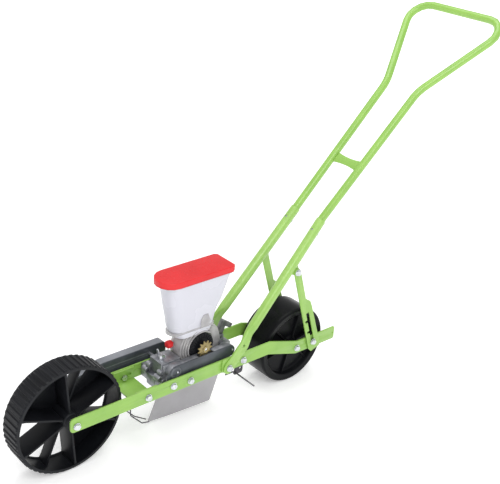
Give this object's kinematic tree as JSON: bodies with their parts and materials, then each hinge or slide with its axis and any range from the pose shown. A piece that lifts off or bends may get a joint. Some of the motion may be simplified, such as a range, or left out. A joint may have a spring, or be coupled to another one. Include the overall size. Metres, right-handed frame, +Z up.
{
  "type": "push seeder",
  "caption": "Walk-behind push seeder: spoked drive wheel in front, press wheel behind, chain-driven seed hopper, furrow opener and a raked loop handle.",
  "frame": {"origin": "middle of the bounding box, on the ground between the two wheels", "axes": "+Z up, -Y forward (front wheel end), +X the machine's left side"},
  "size_m": [0.2952, 1.3159, 0.9047],
  "materials": {
    "green_paint": "glossy",
    "black_plastic": "moulded",
    "zinc_plate": "zinc plated",
    "casting": "as cast",
    "slate_paint": "satin",
    "stainless_sheet": "brushed",
    "brass_sprocket": "plain",
    "clear_plastic": "translucent",
    "red_plastic": "glossy",
    "white_plastic": "plain",
    "dark_steel": "blackened"
  },
  "bodies": {
    "frame": {"left_front_rail": "green_paint", "left_rear_rail": "green_paint", "left_bracket_bolt": "zinc_plate", "left_rail_bolt": "zinc_plate", "left_front_body_bolt": "zinc_plate", "left_rear_body_bolt": "zinc_plate", "left_pivot_bolt": "zinc_plate", "left_strut_pin": "zinc_plate", "right_front_rail": "green_paint", "right_rear_rail": "green_paint", "right_bracket_bolt": "zinc_plate", "right_rail_bolt": "zinc_plate", "right_front_body_bolt": "zinc_plate", "right_rear_body_bolt": "zinc_plate", "right_pivot_bolt": "zinc_plate", "right_strut_pin": "zinc_plate", "cross_bracket": "green_paint", "rear_axle": "zinc_plate", "seed_body": "casting", "left_chain_case": "casting", "left_case_cover": "slate_paint", "right_chain_case": "casting", "right_case_cover": "slate_paint", "roller_housing": "clear_plastic", "hopper": "clear_plastic", "seed_brush": "white_plastic", "seed_tube": "white_plastic", "marker_clamp": "dark_steel", "drive_chain": "dark_steel", "metering_chain": "dark_steel"},
    "front_wheel_set": {"front_wheel": "black_plastic", "front_axle": "zinc_plate", "front_sprocket": "dark_steel"},
    "rear_wheel_set": {"rear_wheel": "black_plastic", "rear_wheel_bush": "brass_sprocket"},
    "cross_drive": {"cross_shaft": "zinc_plate", "cross_input_sprocket": "dark_steel", "cross_output_sprocket": "dark_steel"},
    "idler": {"idler_sprocket": "dark_steel"},
    "metering_set": {"roller_shaft": "zinc_plate", "seed_roller": "white_plastic", "roller_disc": "black_plastic", "roller_sprocket": "brass_sprocket"},
    "knob": {"brush_knob": "red_plastic"},
    "lid": {"hopper_lid": "red_plastic"},
    "latch": {"latch_lever": "dark_steel"},
    "handle": {"handle_loop": "green_paint", "handle_brace": "green_paint", "left_handle_leg": "green_paint", "left_joint_bolt": "zinc_plate", "left_strut_bolt": "zinc_plate", "right_handle_leg": "green_paint", "right_joint_bolt": "zinc_plate", "right_strut_bolt": "zinc_plate"},
    "left_strut_body": {"left_strut": "green_paint"},
    "right_strut_body": {"right_strut": "green_paint"},
    "opener_set": {"opener": "stainless_sheet", "wire_guard": "dark_steel"},
    "wing_nut_body": {"wing_nut": "zinc_plate"},
    "marker": {"marker_rod": "dark_steel"}
  },
  "joints": [
    {"name": "front_wheel_spin", "type": "hinge", "parent": "frame", "child": "front_wheel_set", "pos_m": [0, -0.52803, 0.13], "axis": [1, 0, 0], "continuous": true},
    {"name": "rear_wheel_spin", "type": "hinge", "parent": "frame", "child": "rear_wheel_set", "pos_m": [0, 0.11067, 0.1025], "axis": [1, 0, 0], "continuous": true},
    {"name": "cross_shaft_spin", "type": "hinge", "parent": "frame", "child": "cross_drive", "pos_m": [0, -0.26303, 0.159], "axis": [1, 0, 0], "continuous": true},
    {"name": "idler_spin", "type": "hinge", "parent": "frame", "child": "idler", "pos_m": [0, -0.10403, 0.162], "axis": [1, 0, 0], "continuous": true},
    {"name": "roller_spin", "type": "hinge", "parent": "frame", "child": "metering_set", "pos_m": [0, -0.17403, 0.189], "axis": [1, 0, 0], "continuous": true},
    {"name": "brush_knob_turn", "type": "hinge", "parent": "frame", "child": "knob", "pos_m": [-0.012, -0.23703, 0.201], "axis": [0, 1, 0], "range_deg": [-180, 180]},
    {"name": "lid_lift", "type": "slide", "parent": "frame", "child": "lid", "axis": [0, 0, 1], "range_m": [0, 0.15]},
    {"name": "latch_swing", "type": "hinge", "parent": "frame", "child": "latch", "pos_m": [0, -0.10603, 0.185], "axis": [1, 0, 0], "range_deg": [-35, 0], "stiffness_Nm_per_rad": 0.3, "springref_deg": 20.05},
    {"name": "handle_tilt", "type": "hinge", "parent": "frame", "child": "handle", "pos_m": [0, -0.11653, 0.128], "axis": [1, 0, 0], "range_deg": [-10, 0]},
    {"name": "left_strut_swing", "type": "hinge", "parent": "handle", "child": "left_strut_body", "pos_m": [0.0601, 0.08247, 0.328], "axis": [1, 0, 0], "range_deg": [0, 4.51]},
    {"name": "right_strut_swing", "type": "hinge", "parent": "handle", "child": "right_strut_body", "pos_m": [-0.0601, 0.08247, 0.328], "axis": [1, 0, 0], "range_deg": [0, 4.51]},
    {"name": "opener_depth", "type": "slide", "parent": "frame", "child": "opener_set", "axis": [0, 0, 1], "range_m": [-0.014, 0]},
    {"name": "wing_nut_turn", "type": "hinge", "parent": "frame", "child": "wing_nut_body", "pos_m": [0, -0.27403, 0.18], "axis": [0, 0, 1], "continuous": true},
    {"name": "marker_swing", "type": "hinge", "parent": "frame", "child": "marker", "pos_m": [0.06, -0.08303, 0.095], "axis": [1, 0, 0], "range_deg": [-60, 60]}
  ],
  "couplings": [
    {"joint": "cross_shaft_spin", "follows": "front_wheel_spin", "ratio": 2},
    {"joint": "idler_spin", "follows": "front_wheel_spin", "ratio": 2},
    {"joint": "roller_spin", "follows": "front_wheel_spin", "ratio": -1.4545},
    {"joint": "left_strut_swing", "follows": "handle_tilt", "ratio": -0.446},
    {"joint": "right_strut_swing", "follows": "handle_tilt", "ratio": -0.446}
  ]
}
